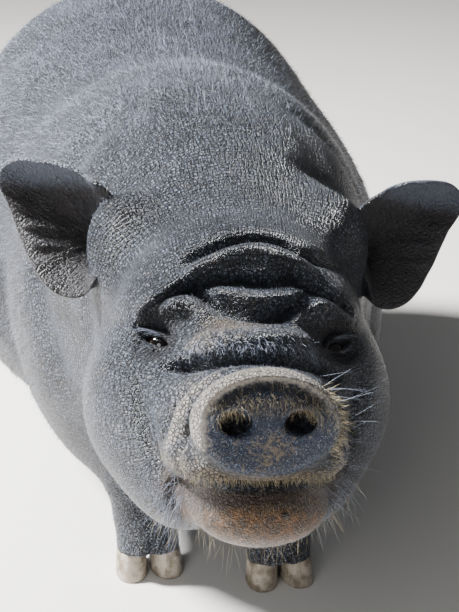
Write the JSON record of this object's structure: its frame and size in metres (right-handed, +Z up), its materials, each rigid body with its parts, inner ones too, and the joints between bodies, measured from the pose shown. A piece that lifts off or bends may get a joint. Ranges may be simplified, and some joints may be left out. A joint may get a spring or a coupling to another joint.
{
  "type": "pot bellied pig",
  "caption": "Still life-size model of a black pot bellied pig standing on short legs, wrinkled face lifted and ears held out sideways.",
  "frame": {"origin": "on the floor under the middle of the animal's box", "axes": "+Z up, +Y from the snout towards the tail, +X to the pig's left"},
  "size_m": [0.405, 0.9418, 0.4331],
  "materials": {
    "skin": "thick charcoal skin with fine wrinkles and sparse bristles",
    "snout_skin": "bare damp blue-grey snout skin with a dusty rim",
    "chin_skin": "dark chin skin with dried ochre mud",
    "ear_skin": "thin dark ear skin, brown-black inside",
    "hoof_horn": "pale dry grey-beige horn",
    "eye": "wet dark brown eye",
    "tail_bristle": "black tail skin and coarse bristle"
  },
  "bodies": {
    "root": {"belly": "skin", "chest": "skin", "dewclaw_fore_left_left": "hoof_horn", "dewclaw_fore_left_right": "hoof_horn", "dewclaw_fore_right_left": "hoof_horn", "dewclaw_fore_right_right": "hoof_horn", "dewclaw_hind_left_left": "hoof_horn", "dewclaw_hind_left_right": "hoof_horn", "dewclaw_hind_right_left": "hoof_horn", "dewclaw_hind_right_right": "hoof_horn", "ear_left": "ear_skin", "ear_right": "ear_skin", "eye_left": "eye", "eye_right": "eye", "foreleg_left": "skin", "foreleg_right": "skin", "head": "skin", "hindleg_left": "skin", "hindleg_right": "skin", "hoof_fore_left_left": "hoof_horn", "hoof_fore_left_right": "hoof_horn", "hoof_fore_right_left": "hoof_horn", "hoof_fore_right_right": "hoof_horn", "hoof_hind_left_left": "hoof_horn", "hoof_hind_left_right": "hoof_horn", "hoof_hind_right_left": "hoof_horn", "hoof_hind_right_right": "hoof_horn", "jaw": "chin_skin", "neck": "skin", "rump": "skin", "snout": "snout_skin", "tail": "tail_bristle"}
  },
  "joints": []
}
